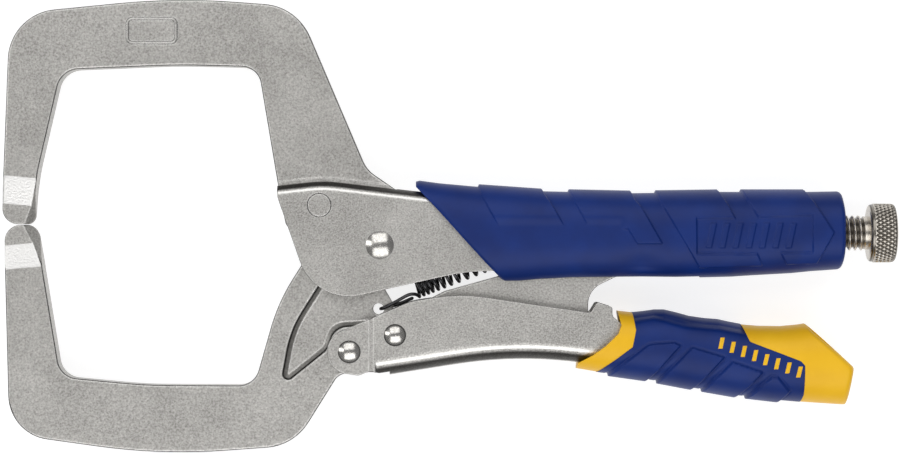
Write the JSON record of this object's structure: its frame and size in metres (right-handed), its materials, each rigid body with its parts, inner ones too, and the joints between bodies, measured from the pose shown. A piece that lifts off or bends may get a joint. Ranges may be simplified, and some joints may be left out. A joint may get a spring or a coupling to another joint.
{
  "type": "locking c clamp",
  "caption": "Locking C-clamp with wide forged C-shaped jaws, an over-centre toggle lever, a knurled adjusting screw and soft two-colour handle grips.",
  "frame": {"origin": "point where the two jaw tips meet, on the middle plane of the tool", "axes": "+X from the jaw tips to the adjusting screw, +Y from the moving jaw towards the fixed jaw, +Z across the thickness"},
  "size_m": [0.2783, 0.1406, 0.0262],
  "materials": {
    "forged_steel": "nickel plated, satin, fine blasted grain",
    "plated_sheet": "nickel plated sheet, satin",
    "rivet_steel": "polished head",
    "screw_steel": "bright plated, knurled knob",
    "spring_steel": "black oxide, oiled",
    "blue_elastomer": "soft matt moulding",
    "yellow_plastic": "satin moulding"
  },
  "bodies": {
    "frame": {"handle_channel": "plated_sheet", "fixed_jaw": "forged_steel", "fixed_jaw_rivet": "rivet_steel", "main_pivot_rivet": "rivet_steel", "spring_anchor_pin": "rivet_steel", "upper_grip": "blue_elastomer", "return_spring": "spring_steel"},
    "moving_jaw": {"moving_jaw": "forged_steel"},
    "lever": {"lever": "plated_sheet", "lever_pivot_rivet": "rivet_steel", "link_pivot_rivet": "rivet_steel", "lower_grip_core": "yellow_plastic", "lower_grip_sleeve": "blue_elastomer", "lower_grip_marks": "yellow_plastic"},
    "toggle_link": {"toggle_link": "plated_sheet"},
    "adjusting_screw": {"adjusting_screw": "screw_steel"}
  },
  "joints": [
    {"name": "jaw_hinge", "type": "hinge", "parent": "frame", "child": "moving_jaw", "pos_m": [0.113, -0.0064, 0], "axis": [0, 0, 1], "range_deg": [0, 15.2], "deforming": ["return_spring"]},
    {"name": "lever_hinge", "type": "hinge", "parent": "moving_jaw", "child": "lever", "pos_m": [0.1035, -0.0395, 0], "axis": [0, 0, 1], "range_deg": [-72, 0]},
    {"name": "link_hinge", "type": "hinge", "parent": "lever", "child": "toggle_link", "pos_m": [0.1177, -0.0343, 0], "axis": [0, 0, 1], "range_deg": [0, 68.2]},
    {"name": "screw_spin", "type": "hinge", "parent": "frame", "child": "adjusting_screw", "pos_m": [0.2564, -0.00265, 0], "axis": [1, 0, 0], "continuous": true}
  ],
  "couplings": [
    {"joint": "jaw_hinge", "follows": "lever_hinge", "ratio": -0.21},
    {"joint": "link_hinge", "follows": "lever_hinge", "ratio": -0.945}
  ]
}
